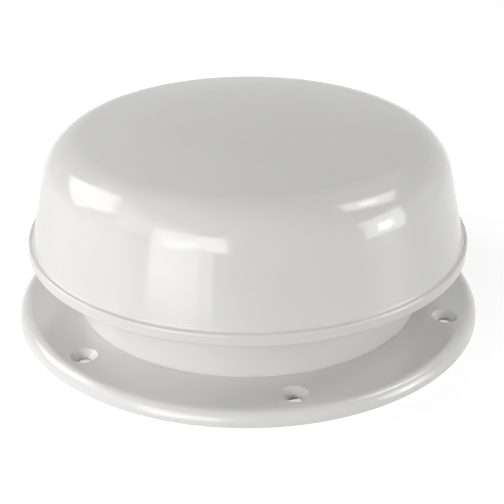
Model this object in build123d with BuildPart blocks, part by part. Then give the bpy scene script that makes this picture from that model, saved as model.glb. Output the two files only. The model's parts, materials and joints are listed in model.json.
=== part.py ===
"""Closable mushroom roof vent, in millimetres.

Z points up and z = 0 is the roof surface under the flange. The vent is drawn closed. The knob turns the
spindle in the bridge, and the spindle's thread lifts the cap straight up, held square by two guide posts.
"""
import os
from math import cos, radians, sin, sqrt, tan

from build123d import *

# Flange that is screwed to the roof, with a fully rounded rim
flange_reach = 25.8
flange_height = 5.6
flange_wall = 3.0
rim_land = 0.4
rim_wall = 3.0

# Collar that rises from the flange round the throat
collar_radius = 74.2
collar_draft = 0.5
collar_wall = 2.8
collar_headroom = 17.6
collar_chamfer = 0.9

# Countersunk screw holes for the roof
mount_setback = 12.5
mount_count = 6
mount_angle = 41.5
mount_hole_radius = 2.75
mount_sink_radius = 5.45
mount_pad_radius = 5.0
mount_pad_wall = 3.7

# Underside of the flange: foot ring, gasket groove, keeper rib and stiffening ribs
foot_land = 2.3
gasket_width = 5.0
gasket_clearance = 0.15
keeper_width = 1.4
under_rib_count = 12
under_rib_width = 1.6
under_rib_recess = 0.5

# Cap: crown sphere, tapered skirt and proud lip
cap_height = 85.1
cap_wall = 2.6
crown_radius = 444.0
shoulder_round = 20.0
skirt_taper = 12.6
lip_overhang = 19.7
lip_step = 2.0
lip_bottom = 31.0
lip_depth = 4.7
lip_chamfer = 0.4

# Knob and the screw that holds it
knob_bottom = 3.0
knob_height = 16.0
knob_radius = 22.0
knob_lobes = 8
knob_scallop_radius = 6.5
knob_scallop_depth = 2.6
knob_chamfer = 1.4
knob_skirt_wall = 2.6
knob_hub_wall = 2.6
knob_web = 4.0
knob_recess_radius = 10.0
knob_recess_depth = 4.5
knob_bush_radius = 7.6
knob_washer_radius = 8.6
knob_washer_thickness = 1.0
knob_screw_radius = 2.5
knob_screw_length = 14.0
knob_screw_head_radius = 4.5
knob_screw_head_height = 2.2
knob_screw_head_chamfer = 0.8
knob_cap_thickness = 0.9
knob_cap_skirt = 0.8

# Insect screen in its frame, held up against a ledge in the throat
screen_knob_gap = 4.6
screen_frame_thickness = 3.4
screen_frame_width = 9.5
screen_hub_radius = 9.5
screen_hub_wall = 3.0
screen_spokes = 6
screen_spoke_width = 2.2
screen_thickness = 0.4
screen_overlap = 2.1
screen_pitch = 7.2
screen_wire = 1.4
screen_clearance = 0.2
ledge_width = 3.0
ledge_thickness = 2.0
screen_screw_count = 4
screen_screw_radius = 1.5
screen_screw_length = 9.0
screen_screw_head_radius = 2.8
screen_screw_head_height = 1.8
screen_screw_head_chamfer = 0.7
screen_boss_radius = 4.0
screen_boss_height = 8.0

# Bridge that carries the spindle across the throat
arm_count = 4
arm_thickness = 3.6
arm_root_width = 13.0
arm_tip_width = 8.0
arm_rib_width = 2.4
arm_rib_height = 6.0
bridge_pad_radius = 5.5
lug_height = 11.0
lug_inset = 6.5
lug_radius = 5.0
bridge_screw_radius = 2.0
bridge_screw_length = 12.0
bridge_screw_head_radius = 3.8
bridge_screw_head_height = 2.6
bridge_screw_head_chamfer = 0.9
hub_radius = 14.0
hub_height = 12.0
hub_drop = 2.0

# Guide posts on the cap's carrier and the sleeves they slide in
guide_count = 2
guide_circle = 28.0
guide_post_radius = 4.0
guide_post_tip = 1.0
guide_clearance = 0.3
guide_sleeve_wall = 3.0
guide_engagement = 6.0

# Spindle with its bush, washers and retaining ring
spindle_radius = 6.0
spindle_headroom = 1.5
shoulder_radius = 9.5
shoulder_height = 3.0
tail_radius = 5.0
tail_flat = 4.0
tail_flat_length = 12.5
tail_recess = 0.5
bush_wall = 2.5
bush_flange_radius = 11.0
bush_flange_thickness = 1.8
running_clearance = 0.08
axial_clearance = 0.2
thrust_washer_radius = 11.0
thrust_washer_thickness = 1.0
wave_washer_radius = 9.2
wave_washer_thickness = 0.9
retaining_ring_radius = 9.0
retaining_ring_thickness = 1.2
retaining_ring_gap = 6.0
retaining_groove_depth = 0.8

# Threaded insert in the carrier's boss
insert_gap = 1.7
insert_wall = 3.0
insert_headroom = 7.5
thread_engagement = 8.0
insert_flange_radius = 11.5
insert_flange_thickness = 2.0
insert_clearance = 0.12
boss_radius = 14.0
boss_headroom = 0.4

# Seal that closes on the collar's rim, in the channel of the carrier
seal_gap = 0.2
seal_thickness = 3.3
seal_overhang = 1.0
seal_clearance = 0.15
seal_cover = 1.6
channel_wall = 1.3
channel_roof = 2.0

# Carrier: spoked wheel screwed up under the cap
carrier_spokes = 4
carrier_spoke_width = 2.2
carrier_dome_gap = 1.7
carrier_tab_radius = 5.0
carrier_tab_thickness = 3.0
carrier_screw_circle = 48.0
carrier_screw_radius = 1.5
carrier_screw_length = 7.0
carrier_screw_head_radius = 2.8
carrier_screw_head_height = 1.8
carrier_screw_head_chamfer = 0.7
cap_boss_radius = 4.0
cap_boss_clearance = 0.3

# Assembly clearance between pieces that are fixed together
fit_clearance = 0.05

# Radii that follow from the collar
flange_radius = collar_radius + flange_reach
mount_circle = flange_radius - mount_setback
lip_radius = collar_radius + lip_overhang
skirt_foot_radius = lip_radius - lip_step
lip_round = lip_step / 2

# Heights that follow from the cap and from the stack of pieces, from the knob up
collar_top = cap_height - collar_headroom
plate_bottom = flange_height - flange_wall
knob_top = knob_bottom + knob_height
screen_bottom = knob_top + screen_knob_gap
ledge_bottom = screen_bottom + screen_frame_thickness
bridge_seat = ledge_bottom + lug_height
pad_top = bridge_seat + arm_thickness
hub_bottom = bridge_seat - hub_drop
hub_top = hub_bottom + hub_height
bush_bottom = hub_bottom - bush_flange_thickness
shoulder_top = bush_bottom - axial_clearance
shoulder_bottom = shoulder_top - shoulder_height
thrust_washer_bottom = hub_top + axial_clearance
wave_washer_bottom = thrust_washer_bottom + thrust_washer_thickness
retaining_ring_bottom = wave_washer_bottom + wave_washer_thickness
retaining_ring_top = retaining_ring_bottom + retaining_ring_thickness
insert_bottom = retaining_ring_top + insert_gap
boss_bottom = insert_bottom + insert_flange_thickness
insert_top = cap_height - cap_wall - insert_headroom
spindle_top = cap_height - cap_wall - spindle_headroom
lift_travel = spindle_top - insert_bottom - thread_engagement
lip_top = lip_bottom + lip_depth
guide_post_bottom = lip_bottom + guide_post_tip
guide_sleeve_top = guide_post_bottom + lift_travel + guide_engagement
knob_recess_top = knob_bottom + knob_recess_depth
tail_bottom = knob_recess_top + tail_recess
seal_bottom = collar_top + seal_gap
seal_top = seal_bottom + seal_thickness
channel_bottom = seal_bottom + seal_cover
channel_top = seal_top + channel_roof
tab_top = seal_top + carrier_tab_thickness


def collar_outside(height):
    """Radius of the drafted collar at a height."""
    return collar_radius - (height - flange_height) * tan(radians(collar_draft))


def collar_inside(height):
    """Radius of the throat at a height."""
    return collar_outside(height) - collar_wall


def crown_height(radius, inset=0.0):
    """Height of the cap's crown at a radius, on the surface that lies inset below the outside."""
    return cap_height - crown_radius + sqrt((crown_radius - inset) ** 2 - radius**2)


def skirt_radius(height, inset=0.0):
    """Radius of the cap's skirt at a height, on the surface that lies inset inside the outside."""
    taper = radians(skirt_taper)
    return skirt_foot_radius - (height - lip_top) * tan(taper) - inset / cos(taper)


def shoulder_corner(inset=0.0):
    """Where crown and skirt would meet without the shoulder's rounding."""
    radius = skirt_radius(cap_height, inset)
    for _ in range(12):
        radius = skirt_radius(crown_height(radius, inset), inset)
    return radius, crown_height(radius, inset)


def radial_plane(angle):
    """Upright plane through the vent's axis: local x points outwards and local y points up."""
    turn = radians(angle)
    return Plane(origin=(0, 0, 0), x_dir=(cos(turn), sin(turn), 0), z_dir=(sin(turn), -cos(turn), 0))


def corner_at(radius, height):
    """The corner of the sketch in hand that is nearest to a radius and height."""
    return vertices().sort_by_distance((radius, height, 0))[0]


def ring(inner_radius, outer_radius, bottom, top, mode=Mode.ADD):
    """A flat ring between two heights, in the part in hand."""
    with BuildSketch(Plane.XY.offset(bottom)) as section:
        Circle(outer_radius)
        Circle(inner_radius, mode=Mode.SUBTRACT)
    extrude(section.sketch, amount=top - bottom, mode=mode)


def disc(radius, bottom, top, mode=Mode.ADD):
    """A round disc between two heights, in the part in hand."""
    with BuildSketch(Plane.XY.offset(bottom)) as section:
        Circle(radius)
    extrude(section.sketch, amount=top - bottom, mode=mode)


def pegs(radius, bottom, top, circle, count, angle=0.0, mode=Mode.ADD):
    """Round pegs or holes between two heights, spaced round a circle, in the part in hand."""
    with BuildSketch(Plane.XY.offset(bottom)) as section:
        with PolarLocations(circle, count, start_angle=angle):
            Circle(radius)
    extrude(section.sketch, amount=top - bottom, mode=mode)


os.makedirs("parts", exist_ok=True)

foot_radius = collar_radius + foot_land
groove_radius = foot_radius + gasket_width + 2 * gasket_clearance
keeper_radius = groove_radius + keeper_width
rim_inside = flange_radius - rim_wall
lug_circle = collar_inside(bridge_seat) - lug_inset
ledge_radius = collar_inside(ledge_bottom) - ledge_width
screen_frame_radius = collar_inside(ledge_bottom) - screen_clearance
screen_screw_circle = screen_frame_radius - screen_boss_radius + screen_clearance
screen_screw_angle = 180 / screen_screw_count

# Base: flange and collar moulded in one
with BuildPart() as base:
    with BuildSketch(Plane.XZ):
        with BuildLine():
            Polyline(
                (collar_inside(0), 0),
                (foot_radius, 0),
                (foot_radius, plate_bottom),
                (groove_radius, plate_bottom),
                (groove_radius, 0),
                (keeper_radius, 0),
                (keeper_radius, plate_bottom),
                (rim_inside, plate_bottom),
                (rim_inside, 0),
                (flange_radius, 0),
                (flange_radius, flange_height),
                (collar_radius, flange_height),
                (collar_outside(collar_top), collar_top),
                (collar_inside(collar_top), collar_top),
                close=True,
            )
        make_face()
        fillet(corner_at(flange_radius, flange_height), flange_height - rim_land)
        chamfer(corner_at(collar_outside(collar_top), collar_top), collar_chamfer)
        chamfer(corner_at(collar_inside(collar_top), collar_top), collar_chamfer)
    revolve(axis=Axis.Z)

    # Ledge and bosses for the insect screen
    ring(ledge_radius, collar_inside(0) + fit_clearance, ledge_bottom, ledge_bottom + ledge_thickness)
    pegs(
        screen_boss_radius,
        ledge_bottom,
        ledge_bottom + screen_boss_height,
        screen_screw_circle,
        screen_screw_count,
        screen_screw_angle,
    )
    pegs(
        screen_screw_radius + fit_clearance,
        ledge_bottom,
        ledge_bottom + screen_boss_height - ledge_thickness,
        screen_screw_circle,
        screen_screw_count,
        screen_screw_angle,
        mode=Mode.SUBTRACT,
    )

    # Lugs for the bridge, each joined to the collar by a web
    with BuildSketch(Plane.XY.offset(ledge_bottom)):
        with PolarLocations(lug_circle, arm_count):
            Circle(lug_radius)
            Rectangle(lug_inset + collar_wall / 2, 2 * lug_radius, align=(Align.MIN, Align.CENTER))
    extrude(amount=lug_height)
    pegs(
        bridge_screw_radius + fit_clearance,
        pad_top - bridge_screw_length - fit_clearance,
        bridge_seat,
        lug_circle,
        arm_count,
        mode=Mode.SUBTRACT,
    )

    # Underside: screw pads and stiffening ribs
    pegs(mount_pad_radius, flange_height - mount_pad_wall, plate_bottom, mount_circle, mount_count, mount_angle)
    with BuildSketch(Plane.XY.offset(under_rib_recess)):
        with PolarLocations(keeper_radius, under_rib_count, start_angle=mount_angle + 180 / under_rib_count):
            Rectangle(rim_inside - keeper_radius, under_rib_width, align=(Align.MIN, Align.CENTER))
    extrude(amount=plate_bottom - under_rib_recess)

    with Locations((0, 0, flange_height)):
        with PolarLocations(mount_circle, mount_count, start_angle=mount_angle):
            CounterSinkHole(mount_hole_radius, mount_sink_radius, counter_sink_angle=90)

base.part.label = "base"
export_step(base.part, "parts/base.step")

# Flange gasket: foam ring in the groove, pressed flush with the roof surface
with BuildPart() as flange_gasket:
    ring(foot_radius + gasket_clearance, groove_radius - gasket_clearance, 0, plate_bottom)

flange_gasket.part.label = "flange_gasket"
export_step(flange_gasket.part, "parts/flange_gasket.step")

# Bridge: hub on four ribbed arms, with a sleeve for each guide post
bush_radius = spindle_radius + running_clearance + bush_wall
guide_bore_radius = guide_post_radius + guide_clearance
arm_angles = [360 / arm_count * index for index in range(arm_count)]

with BuildPart() as bridge:
    disc(hub_radius, hub_bottom, hub_top)
    with BuildSketch(Plane.XY.offset(bridge_seat)):
        with PolarLocations(0, arm_count):
            Polygon(
                (0, -arm_root_width / 2),
                (lug_circle, -arm_tip_width / 2),
                (lug_circle, arm_tip_width / 2),
                (0, arm_root_width / 2),
                align=None,
            )
        with PolarLocations(lug_circle, arm_count):
            Circle(bridge_pad_radius)
    extrude(amount=arm_thickness)
    for angle in arm_angles:
        with BuildSketch(radial_plane(angle)):
            Polygon(
                (hub_radius / 2, pad_top - arm_thickness / 2),
                (lug_circle - bridge_pad_radius, pad_top - arm_thickness / 2),
                (lug_circle - bridge_pad_radius, pad_top),
                (hub_radius, pad_top + arm_rib_height),
                (hub_radius / 2, pad_top + arm_rib_height),
                align=None,
            )
        extrude(amount=arm_rib_width / 2, both=True)
    pegs(guide_bore_radius + guide_sleeve_wall, bridge_seat, guide_sleeve_top, guide_circle, guide_count)
    pegs(guide_bore_radius, bridge_seat, guide_sleeve_top, guide_circle, guide_count, mode=Mode.SUBTRACT)
    pegs(
        bridge_screw_radius + fit_clearance,
        bridge_seat,
        pad_top,
        lug_circle,
        arm_count,
        mode=Mode.SUBTRACT,
    )
    disc(bush_radius + fit_clearance, hub_bottom, hub_top + arm_rib_height, mode=Mode.SUBTRACT)

bridge.part.label = "bridge"
export_step(bridge.part, "parts/bridge.step")

# Bridge screws: pan heads on the arm pads, shanks down into the lugs
with BuildPart() as bridge_screws:
    pegs(bridge_screw_head_radius, pad_top, pad_top + bridge_screw_head_height, lug_circle, arm_count)
    chamfer(edges().group_by(Axis.Z)[-1], bridge_screw_head_chamfer)
    pegs(bridge_screw_radius, pad_top - bridge_screw_length, pad_top, lug_circle, arm_count)

bridge_screws.part.label = "bridge_screws"
export_step(bridge_screws.part, "parts/bridge_screws.step")

# Spindle bush: flanged bearing pressed up into the hub
with BuildPart() as spindle_bush:
    disc(bush_flange_radius, bush_bottom, hub_bottom)
    disc(bush_radius, hub_bottom, hub_top)
    disc(spindle_radius + running_clearance, bush_bottom, hub_top, mode=Mode.SUBTRACT)

spindle_bush.part.label = "spindle_bush"
export_step(spindle_bush.part, "parts/spindle_bush.step")

# Screen frame: ring, spokes and centre ring, with a shallow seat on top for the net
screen_frame_inside = screen_frame_radius - screen_frame_width
screen_radius = screen_frame_inside + screen_overlap
screen_seat = ledge_bottom - screen_thickness
screen_hub_inside = screen_hub_radius - screen_hub_wall

with BuildPart() as screen_frame:
    ring(screen_frame_inside, screen_frame_radius, screen_bottom, ledge_bottom)
    ring(screen_hub_inside, screen_hub_radius, screen_bottom, screen_seat)
    with BuildSketch(Plane.XY.offset(screen_bottom)):
        with PolarLocations(screen_hub_radius - screen_hub_wall / 2, screen_spokes):
            Rectangle(
                screen_frame_inside - screen_hub_radius + screen_hub_wall,
                screen_spoke_width,
                align=(Align.MIN, Align.CENTER),
            )
    extrude(amount=screen_seat - screen_bottom)
    disc(screen_radius + fit_clearance, screen_seat, ledge_bottom, mode=Mode.SUBTRACT)
    pegs(
        screen_screw_radius + fit_clearance,
        screen_bottom,
        ledge_bottom,
        screen_screw_circle,
        screen_screw_count,
        screen_screw_angle,
        mode=Mode.SUBTRACT,
    )

screen_frame.part.label = "screen_frame"
export_step(screen_frame.part, "parts/screen_frame.step")

# Insect screen: net welded into the seat of its frame, open in the middle for the spindle
net_reach = screen_frame_inside - screen_pitch / 2
net_rows = int(net_reach // screen_pitch)
net_places = [
    (column * screen_pitch, row * screen_pitch)
    for column in range(-net_rows, net_rows + 1)
    for row in range(-net_rows, net_rows + 1)
    if screen_hub_radius + screen_pitch / 2 < screen_pitch * sqrt(column**2 + row**2) < net_reach
]

with BuildPart() as insect_screen:
    with BuildSketch(Plane.XY.offset(screen_seat)):
        Circle(screen_radius)
        Circle(screen_hub_inside, mode=Mode.SUBTRACT)
        with Locations(*net_places):
            Rectangle(screen_pitch - screen_wire, screen_pitch - screen_wire, mode=Mode.SUBTRACT)
    extrude(amount=screen_thickness)

insect_screen.part.label = "insect_screen"
export_step(insect_screen.part, "parts/insect_screen.step")

# Screen screws: heads under the frame, shanks up into the bosses
with BuildPart() as screen_screws:
    pegs(
        screen_screw_head_radius,
        screen_bottom - screen_screw_head_height,
        screen_bottom,
        screen_screw_circle,
        screen_screw_count,
        screen_screw_angle,
    )
    chamfer(edges().group_by(Axis.Z)[0], screen_screw_head_chamfer)
    pegs(
        screen_screw_radius,
        screen_bottom,
        screen_bottom + screen_screw_length,
        screen_screw_circle,
        screen_screw_count,
        screen_screw_angle,
    )

screen_screws.part.label = "screen_screws"
export_step(screen_screws.part, "parts/screen_screws.step")

# Seal sizes follow the rim of the collar that it closes on
seal_inside = collar_inside(collar_top) - seal_overhang
seal_outside = collar_outside(collar_top) + seal_overhang
channel_inside = seal_inside - seal_clearance
channel_outside = seal_outside + seal_clearance
insert_radius = spindle_radius + insert_clearance + insert_wall
carrier_rim_inside = channel_inside - channel_wall

# Core: the hollow inside the cap, with room left for the screw bosses under its crown
with BuildPart() as cap_core:
    with BuildSketch(Plane.XZ):
        corner_radius, corner_height = shoulder_corner(cap_wall)
        with BuildLine():
            Polyline(
                (0, crown_height(0, cap_wall)),
                (0, lip_bottom - lip_depth),
                (skirt_radius(lip_bottom - lip_depth, cap_wall), lip_bottom - lip_depth),
                (corner_radius, corner_height),
            )
            ThreePointArc(
                (corner_radius, corner_height),
                (corner_radius / 2, crown_height(corner_radius / 2, cap_wall)),
                (0, crown_height(0, cap_wall)),
            )
        make_face()
        fillet(corner_at(corner_radius, corner_height), shoulder_round - cap_wall)
    revolve(axis=Axis.Z)
    pegs(
        cap_boss_radius,
        tab_top,
        cap_height,
        carrier_screw_circle,
        carrier_spokes,
        mode=Mode.SUBTRACT,
    )

# Cap: domed moulding with a proud lip at the foot of its skirt
with BuildPart() as cap:
    with BuildSketch(Plane.XZ):
        corner_radius, corner_height = shoulder_corner()
        with BuildLine():
            Polyline(
                (0, cap_height),
                (0, lip_bottom),
                (lip_radius, lip_bottom),
                (lip_radius, lip_top),
                (skirt_foot_radius, lip_top),
                (corner_radius, corner_height),
            )
            ThreePointArc(
                (corner_radius, corner_height),
                (corner_radius / 2, crown_height(corner_radius / 2)),
                (0, cap_height),
            )
        make_face()
        fillet(corner_at(corner_radius, corner_height), shoulder_round)
        fillet(corner_at(skirt_foot_radius, lip_top), lip_round)
        fillet(corner_at(lip_radius, lip_top), lip_round)
        chamfer(corner_at(lip_radius, lip_bottom), lip_chamfer)
    revolve(axis=Axis.Z)
    add(cap_core.part, mode=Mode.SUBTRACT)
    pegs(
        carrier_screw_radius + fit_clearance,
        tab_top,
        seal_top + carrier_screw_length + fit_clearance,
        carrier_screw_circle,
        carrier_spokes,
        mode=Mode.SUBTRACT,
    )

cap.part.label = "cap"
export_step(cap.part, "parts/cap.step")

# Carrier: rim with the seal channel, spokes, guide posts and the boss for the insert
with BuildPart() as cap_carrier:
    ring(carrier_rim_inside, channel_outside + channel_wall, channel_bottom, channel_top)
    ring(channel_inside, channel_outside, channel_bottom, seal_top, mode=Mode.SUBTRACT)
    disc(boss_radius, boss_bottom, crown_height(boss_radius, cap_wall) - boss_headroom)
    for index in range(carrier_spokes):
        with BuildSketch(radial_plane(360 / carrier_spokes * index)):
            Polygon(
                (boss_radius / 2, seal_top),
                (channel_inside, seal_top),
                (channel_inside, crown_height(channel_inside, cap_wall) - carrier_dome_gap),
                (boss_radius / 2, crown_height(boss_radius, cap_wall) - carrier_dome_gap),
                align=None,
            )
        extrude(amount=carrier_spoke_width / 2, both=True)
    pegs(
        guide_post_radius,
        guide_post_bottom,
        crown_height(guide_circle + guide_post_radius, cap_wall) - carrier_dome_gap,
        guide_circle,
        guide_count,
    )
    pegs(
        carrier_tab_radius,
        seal_top,
        tab_top,
        carrier_screw_circle,
        carrier_spokes,
    )
    pegs(
        cap_boss_radius + cap_boss_clearance,
        tab_top,
        cap_height,
        carrier_screw_circle,
        carrier_spokes,
        mode=Mode.SUBTRACT,
    )
    pegs(
        carrier_screw_radius + fit_clearance,
        seal_top,
        tab_top,
        carrier_screw_circle,
        carrier_spokes,
        mode=Mode.SUBTRACT,
    )
    disc(spindle_radius + insert_clearance, boss_bottom, cap_height, mode=Mode.SUBTRACT)
    disc(insert_radius + fit_clearance, boss_bottom, insert_top, mode=Mode.SUBTRACT)

cap_carrier.part.label = "cap_carrier"
export_step(cap_carrier.part, "parts/cap_carrier.step")

# Carrier screws: heads under the tabs, shanks up into the cap's bosses
with BuildPart() as carrier_screws:
    pegs(
        carrier_screw_head_radius,
        seal_top - carrier_screw_head_height,
        seal_top,
        carrier_screw_circle,
        carrier_spokes,
    )
    chamfer(edges().group_by(Axis.Z)[0], carrier_screw_head_chamfer)
    pegs(
        carrier_screw_radius,
        seal_top,
        seal_top + carrier_screw_length,
        carrier_screw_circle,
        carrier_spokes,
    )

carrier_screws.part.label = "carrier_screws"
export_step(carrier_screws.part, "parts/carrier_screws.step")

# Cap seal: rubber ring in the carrier's channel, just over the collar's rim
with BuildPart() as cap_seal:
    ring(seal_inside, seal_outside, seal_bottom, seal_top)

cap_seal.part.label = "cap_seal"
export_step(cap_seal.part, "parts/cap_seal.step")

# Thread insert: flanged nut pressed into the carrier's boss
with BuildPart() as thread_insert:
    disc(insert_flange_radius, insert_bottom, boss_bottom)
    disc(insert_radius, boss_bottom, insert_top)
    disc(spindle_radius + insert_clearance, insert_bottom, insert_top, mode=Mode.SUBTRACT)

thread_insert.part.label = "thread_insert"
export_step(thread_insert.part, "parts/thread_insert.step")

# Spindle: threaded above the bridge, shouldered below it, with a flatted tail for the knob
with BuildPart() as spindle:
    disc(tail_radius, tail_bottom, shoulder_bottom)
    with BuildSketch(Plane.XY.offset(tail_bottom)):
        with Locations((tail_flat, 0)):
            Rectangle(tail_radius, 2 * tail_radius, align=(Align.MIN, Align.CENTER))
    extrude(amount=tail_flat_length, mode=Mode.SUBTRACT)
    disc(shoulder_radius, shoulder_bottom, shoulder_top)
    disc(spindle_radius, shoulder_top, spindle_top)
    chamfer(edges().group_by(Axis.Z)[-1], retaining_groove_depth)
    ring(
        spindle_radius - retaining_groove_depth,
        spindle_radius + fit_clearance,
        retaining_ring_bottom,
        retaining_ring_top,
        mode=Mode.SUBTRACT,
    )
    disc(knob_screw_radius + fit_clearance, tail_bottom, tail_bottom + knob_screw_length, mode=Mode.SUBTRACT)

spindle.part.label = "spindle"
export_step(spindle.part, "parts/spindle.step")

# Thrust washer, wave washer and open retaining ring, stacked on the hub
with BuildPart() as thrust_washer:
    ring(spindle_radius + fit_clearance, thrust_washer_radius, thrust_washer_bottom, wave_washer_bottom)

thrust_washer.part.label = "thrust_washer"
export_step(thrust_washer.part, "parts/thrust_washer.step")

with BuildPart() as wave_washer:
    ring(spindle_radius + fit_clearance, wave_washer_radius, wave_washer_bottom, retaining_ring_bottom)

wave_washer.part.label = "wave_washer"
export_step(wave_washer.part, "parts/wave_washer.step")

with BuildPart() as retaining_ring:
    ring(
        spindle_radius - retaining_groove_depth + fit_clearance,
        retaining_ring_radius,
        retaining_ring_bottom,
        retaining_ring_top,
    )
    with BuildSketch(Plane.XY.offset(retaining_ring_bottom)):
        Rectangle(2 * retaining_ring_radius, retaining_ring_gap, align=(Align.MIN, Align.CENTER))
    extrude(amount=retaining_ring_thickness, mode=Mode.SUBTRACT)

retaining_ring.part.label = "retaining_ring"
export_step(retaining_ring.part, "parts/retaining_ring.step")

# Knob: lobed grip round a web and a hub
scallop_circle = knob_radius + knob_scallop_radius - knob_scallop_depth

with BuildPart() as knob:
    with BuildSketch(Plane.XY.offset(knob_bottom)):
        Circle(knob_radius)
        with PolarLocations(scallop_circle, knob_lobes, start_angle=180 / knob_lobes):
            Circle(knob_scallop_radius, mode=Mode.SUBTRACT)
    extrude(amount=knob_height)
    chamfer(edges().group_by(Axis.Z)[0], knob_chamfer)
    ring(
        knob_bush_radius + knob_hub_wall,
        knob_radius - knob_scallop_depth - knob_skirt_wall,
        knob_recess_top + knob_web,
        knob_top,
        mode=Mode.SUBTRACT,
    )
    disc(knob_recess_radius, knob_bottom, knob_recess_top, mode=Mode.SUBTRACT)
    disc(knob_bush_radius + fit_clearance, knob_recess_top, knob_top, mode=Mode.SUBTRACT)

knob.part.label = "knob"
export_step(knob.part, "parts/knob.step")

# Knob bush: flatted brass sleeve moulded into the knob
with BuildPart() as knob_bush:
    with BuildSketch(Plane.XY.offset(knob_recess_top)):
        Circle(knob_bush_radius)
        with BuildSketch(mode=Mode.PRIVATE) as tail_section:
            Circle(tail_radius + fit_clearance)
            with Locations((tail_flat + fit_clearance, 0)):
                Rectangle(tail_radius, 3 * tail_radius, align=(Align.MIN, Align.CENTER), mode=Mode.SUBTRACT)
        add(tail_section.sketch, mode=Mode.SUBTRACT)
    extrude(amount=knob_top - knob_recess_top)

knob_bush.part.label = "knob_bush"
export_step(knob_bush.part, "parts/knob_bush.step")

# Washer, screw and snap-in cap that close the knob from below
with BuildPart() as knob_washer:
    ring(
        knob_screw_radius + fit_clearance,
        knob_washer_radius,
        knob_recess_top - knob_washer_thickness,
        knob_recess_top,
    )

knob_washer.part.label = "knob_washer"
export_step(knob_washer.part, "parts/knob_washer.step")

screw_seat = knob_recess_top - knob_washer_thickness

with BuildPart() as knob_screw:
    disc(knob_screw_head_radius, screw_seat - knob_screw_head_height, screw_seat)
    chamfer(edges().group_by(Axis.Z)[0], knob_screw_head_chamfer)
    disc(knob_screw_radius, screw_seat, screw_seat + knob_screw_length)

knob_screw.part.label = "knob_screw"
export_step(knob_screw.part, "parts/knob_screw.step")

with BuildPart() as knob_cap:
    cap_rim = knob_recess_radius - fit_clearance
    disc(cap_rim, knob_bottom, knob_bottom + knob_cap_thickness)
    ring(cap_rim - knob_cap_skirt, cap_rim, knob_bottom + knob_cap_thickness, knob_recess_top - fit_clearance)

knob_cap.part.label = "knob_cap"
export_step(knob_cap.part, "parts/knob_cap.step")

print("lift", round(lift_travel, 2), "mm")
print("net gaps", len(net_places))
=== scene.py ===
"""Mushroom vent: finishes, fine pieces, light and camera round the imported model, in metres."""

import json
from math import atan2, ceil, cos, floor, pi, radians, sin, sqrt

import bmesh
import bpy
from mathutils import Matrix, Vector


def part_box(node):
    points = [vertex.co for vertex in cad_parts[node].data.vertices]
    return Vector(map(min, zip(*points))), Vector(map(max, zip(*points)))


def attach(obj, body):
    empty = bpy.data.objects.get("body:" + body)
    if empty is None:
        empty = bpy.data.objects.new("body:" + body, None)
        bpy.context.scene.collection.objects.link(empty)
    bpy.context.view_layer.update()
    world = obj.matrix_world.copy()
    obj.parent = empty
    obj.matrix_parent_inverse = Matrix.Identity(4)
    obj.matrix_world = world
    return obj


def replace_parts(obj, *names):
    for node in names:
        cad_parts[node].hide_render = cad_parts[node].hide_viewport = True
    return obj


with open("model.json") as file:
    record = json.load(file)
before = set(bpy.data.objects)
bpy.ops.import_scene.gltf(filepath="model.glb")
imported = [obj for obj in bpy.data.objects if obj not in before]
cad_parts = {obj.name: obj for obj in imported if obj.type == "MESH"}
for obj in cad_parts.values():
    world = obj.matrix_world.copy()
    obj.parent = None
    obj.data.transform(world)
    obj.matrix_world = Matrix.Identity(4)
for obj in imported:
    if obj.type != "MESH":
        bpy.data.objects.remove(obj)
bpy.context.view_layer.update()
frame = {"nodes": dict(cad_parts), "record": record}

MM = 0.001

# Camera, fitted to the rims and screw holes in the photograph
CAMERA_TARGET = Vector((0.0, 0.0, 0.040))
CAMERA_DISTANCE = 0.500
CAMERA_ELEVATION = radians(24.99)
CAMERA_ROLL = radians(-0.25)
CAMERA_CLIP = 0.01
IMAGE_PIXELS = 504
FOCAL_PIXELS = 1157.8
AXIS_PIXEL_X = 247.77
AXIS_PIXEL_Y = 215.15
SENSOR_WIDTH = 36.0


# Shader building blocks. Each returns the socket that carries its result.

def new_material(name, color, roughness, metallic=0.0, ior=1.5):
    """A material with its principled shader set to plain values."""
    material = bpy.data.materials.new(name)
    material.use_nodes = True
    shader = material.node_tree.nodes["Principled BSDF"]
    shader.inputs["Base Color"].default_value = (*color, 1.0)
    shader.inputs["Roughness"].default_value = roughness
    shader.inputs["Metallic"].default_value = metallic
    shader.inputs["IOR"].default_value = ior
    return material, material.node_tree, shader


def part_place(tree):
    """The point on the part, which stays with the part when it moves."""
    return tree.nodes.new("ShaderNodeTexCoord").outputs["Object"]


def stretched(tree, place, scale, turn):
    """The point scaled by a different amount along each axis, then turned."""
    node = tree.nodes.new("ShaderNodeMapping")
    node.inputs["Scale"].default_value = scale
    node.inputs["Rotation"].default_value = turn
    tree.links.new(place, node.inputs["Vector"])
    return node.outputs["Vector"]


def noise(tree, place, scale, detail=2.0, roughness=0.5):
    """Soft cloudy noise about one half."""
    node = tree.nodes.new("ShaderNodeTexNoise")
    node.inputs["Scale"].default_value = scale
    node.inputs["Detail"].default_value = detail
    node.inputs["Roughness"].default_value = roughness
    tree.links.new(place, node.inputs["Vector"])
    return node.outputs["Fac"]


def cells(tree, place, scale):
    """Distance to the nearest of many scattered points, which makes pores and pits."""
    node = tree.nodes.new("ShaderNodeTexVoronoi")
    node.inputs["Scale"].default_value = scale
    tree.links.new(place, node.inputs["Vector"])
    return node.outputs["Distance"]


def math_node(tree, operation, first, second):
    """Arithmetic on sockets or plain numbers."""
    node = tree.nodes.new("ShaderNodeMath")
    node.operation = operation
    for value, socket in zip((first, second), node.inputs):
        if isinstance(value, (int, float)):
            socket.default_value = value
        else:
            tree.links.new(value, socket)
    return node.outputs["Value"]


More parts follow.
